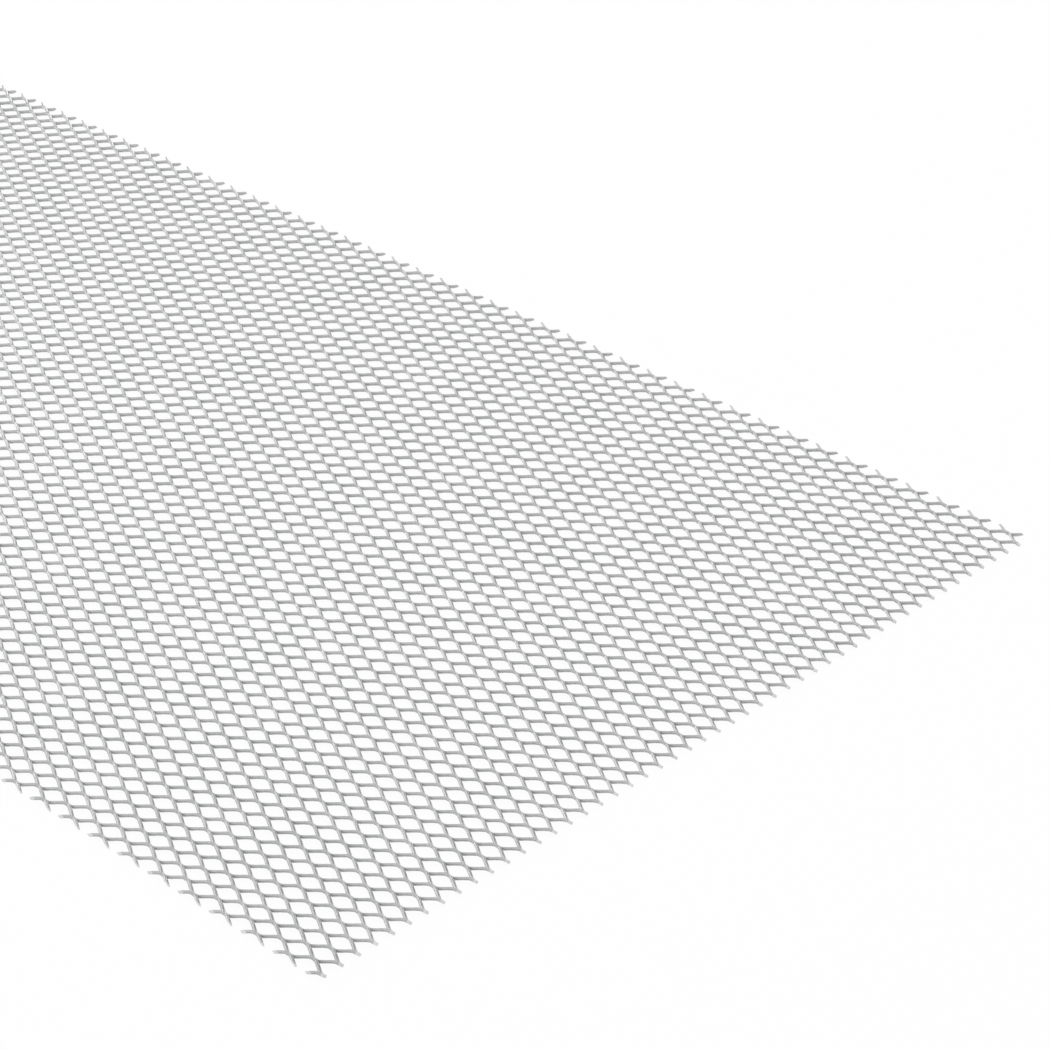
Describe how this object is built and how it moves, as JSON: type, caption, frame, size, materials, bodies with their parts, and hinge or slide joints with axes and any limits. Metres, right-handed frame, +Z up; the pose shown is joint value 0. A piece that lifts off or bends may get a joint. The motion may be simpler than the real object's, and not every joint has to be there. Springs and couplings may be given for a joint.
{
  "type": "expanded metal sheet",
  "caption": "Flat sheet of raised expanded metal: leaning strands joined at bonds around diamond openings, with sheared ends and stubbed sides, for screening, guarding and grilles.",
  "frame": {"origin": "under the middle of the sheet, on the surface that it lies on", "axes": "+X along the sheet's length and the long way of the diamonds, +Y across the sheet, +Z up through its thickness"},
  "size_m": [1, 0.5, 0.0039],
  "materials": {
    "galvanised_steel": "matt silver-grey galvanised steel, with brighter rubbed edges and bright sheared ends"
  },
  "bodies": {
    "root": {"mesh_band_01": "galvanised_steel", "mesh_band_02": "galvanised_steel", "mesh_band_03": "galvanised_steel", "mesh_band_04": "galvanised_steel", "mesh_band_05": "galvanised_steel", "mesh_band_06": "galvanised_steel", "mesh_band_07": "galvanised_steel", "mesh_band_08": "galvanised_steel"}
  },
  "joints": []
}
